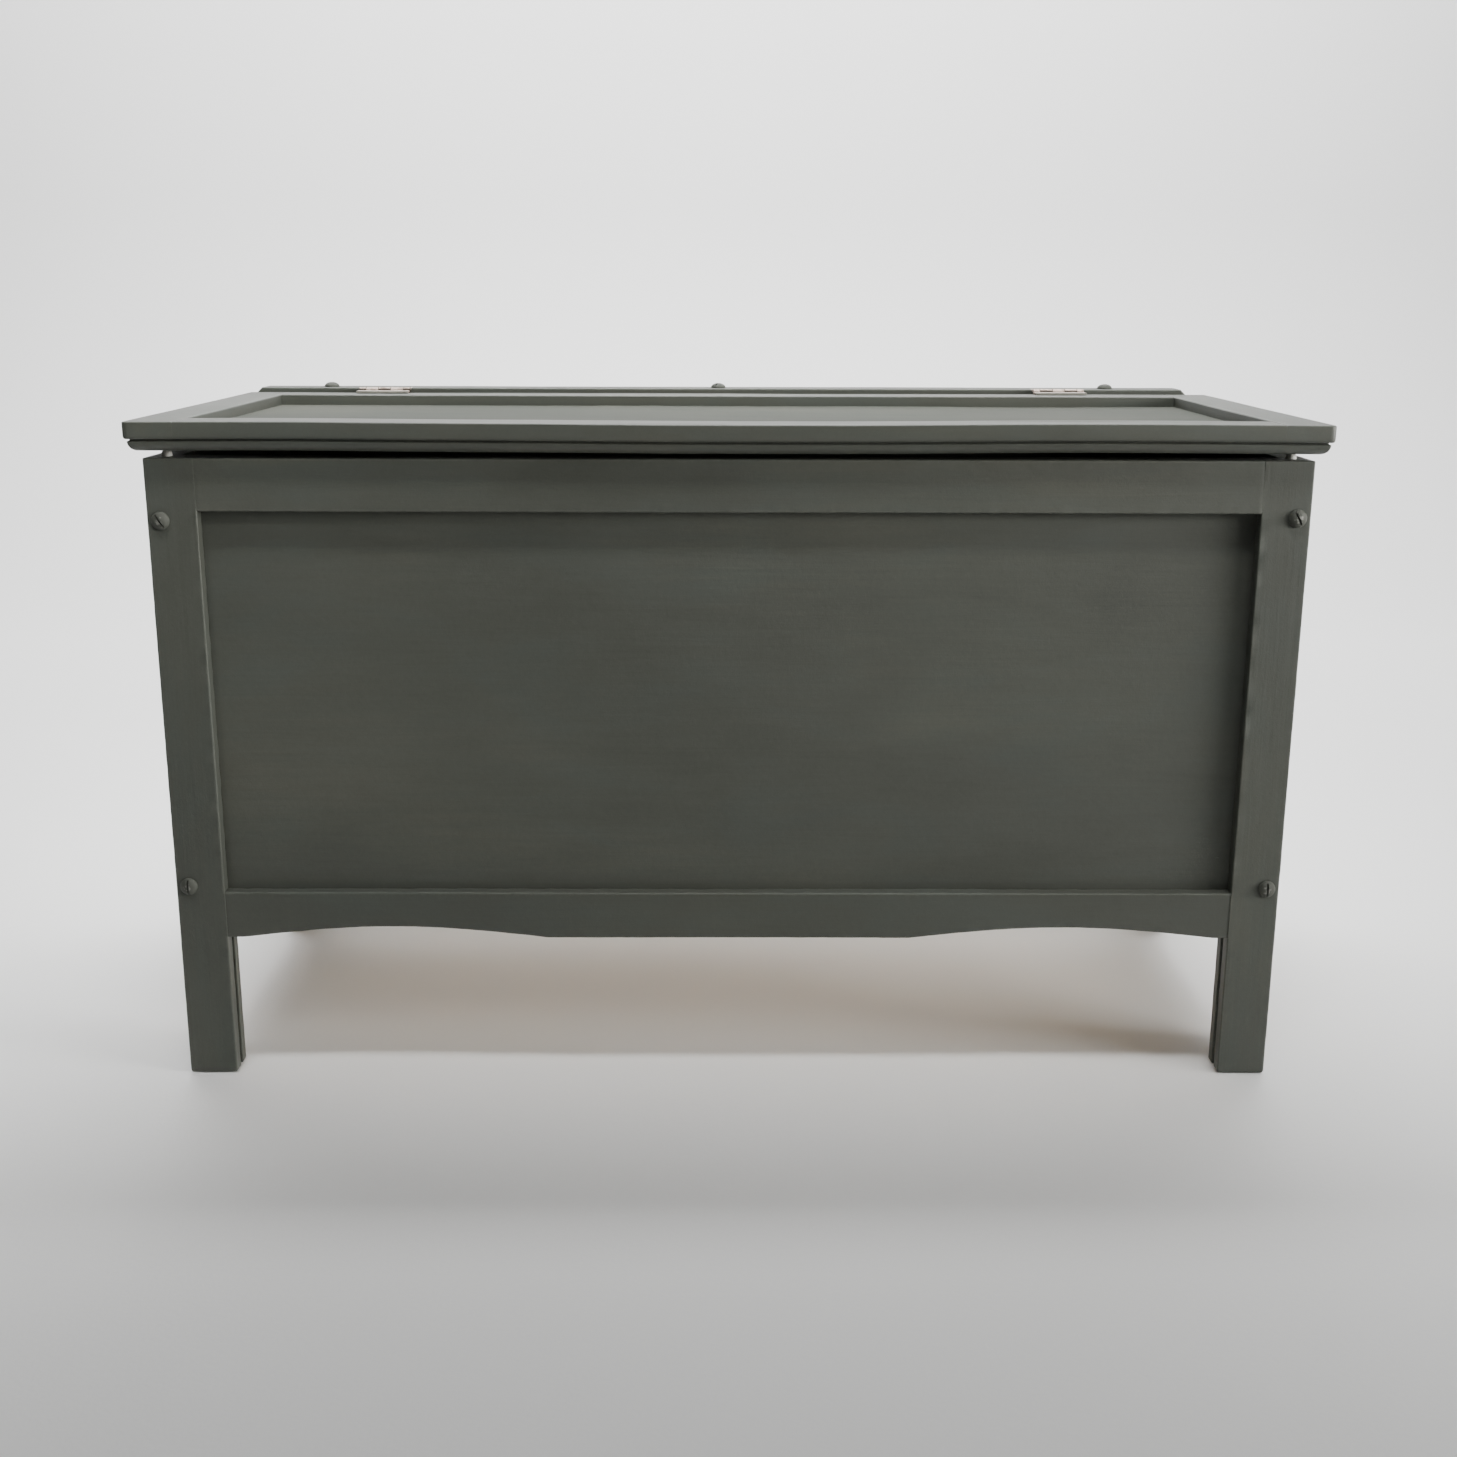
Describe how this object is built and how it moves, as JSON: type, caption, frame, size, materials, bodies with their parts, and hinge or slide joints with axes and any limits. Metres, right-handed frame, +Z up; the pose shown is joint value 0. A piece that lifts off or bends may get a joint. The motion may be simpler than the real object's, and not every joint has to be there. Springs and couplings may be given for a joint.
{
  "type": "wooden toy box",
  "caption": "Painted frame-and-panel toy chest on four short legs, with a lift-up lid hinged to a fixed strip at the back.",
  "frame": {"origin": "on the floor, under the middle of the overall bounding box", "axes": "+X along the width to the right as seen from the front, +Y from the front to the back (the front faces -Y), +Z up"},
  "size_m": [0.9, 0.4095, 0.5364],
  "materials": {
    "painted_wood": "matt chalk paint, grey-green, brushed by hand",
    "painted_panel": "matt chalk paint on plywood, softly mottled",
    "bare_softwood": "planed, unfinished",
    "bare_plywood": "sanded, unfinished",
    "painted_steel": "painted over with the wood, worn on the dome",
    "hinge_steel": "plated, dull",
    "pale_rubber": "soft, pale"
  },
  "bodies": {
    "box": {"back_bottom_rail": "painted_wood", "back_left_stile": "painted_wood", "back_panel": "painted_panel", "back_right_stile": "painted_wood", "back_top_rail": "painted_wood", "corner_screw_back_left_high": "painted_steel", "corner_screw_back_left_low": "painted_steel", "corner_screw_back_right_high": "painted_steel", "corner_screw_back_right_low": "painted_steel", "corner_screw_front_left_high": "painted_steel", "corner_screw_front_left_low": "painted_steel", "corner_screw_front_right_high": "painted_steel", "corner_screw_front_right_low": "painted_steel", "floor_batten_back": "bare_softwood", "floor_batten_front": "bare_softwood", "floor_batten_left": "bare_softwood", "floor_batten_right": "bare_softwood", "floor_panel": "bare_plywood", "front_bottom_rail": "painted_wood", "front_left_stile": "painted_wood", "front_panel": "painted_panel", "front_right_stile": "painted_wood", "front_top_rail": "painted_wood", "hinge_strip": "painted_wood", "left_back_stile": "painted_wood", "left_bottom_rail": "painted_wood", "left_front_stile": "painted_wood", "left_hinge_pin": "hinge_steel", "left_hinge_strip_leaf": "hinge_steel", "left_hinge_strip_leaf_screw_left": "hinge_steel", "left_hinge_strip_leaf_screw_right": "hinge_steel", "left_panel": "painted_panel", "left_top_rail": "painted_wood", "lid_buffer_left": "pale_rubber", "lid_buffer_right": "pale_rubber", "right_back_stile": "painted_wood", "right_bottom_rail": "painted_wood", "right_front_stile": "painted_wood", "right_hinge_pin": "hinge_steel", "right_hinge_strip_leaf": "hinge_steel", "right_hinge_strip_leaf_screw_left": "hinge_steel", "right_hinge_strip_leaf_screw_right": "hinge_steel", "right_panel": "painted_panel", "right_top_rail": "painted_wood", "strip_screw_left": "painted_steel", "strip_screw_middle": "painted_steel", "strip_screw_right": "painted_steel"},
    "lid": {"left_hinge_lid_leaf": "hinge_steel", "left_hinge_lid_leaf_screw_left": "hinge_steel", "left_hinge_lid_leaf_screw_right": "hinge_steel", "lid_back_rail": "painted_wood", "lid_front_rail": "painted_wood", "lid_left_stile": "painted_wood", "lid_panel": "painted_panel", "lid_right_stile": "painted_wood", "right_hinge_lid_leaf": "hinge_steel", "right_hinge_lid_leaf_screw_left": "hinge_steel", "right_hinge_lid_leaf_screw_right": "hinge_steel"}
  },
  "joints": [
    {"name": "lid_hinge", "type": "hinge", "parent": "box", "child": "lid", "pos_m": [-0.006, 0.16445, 0.53], "axis": [-1, 0, 0], "range_deg": [0, 105]}
  ]
}
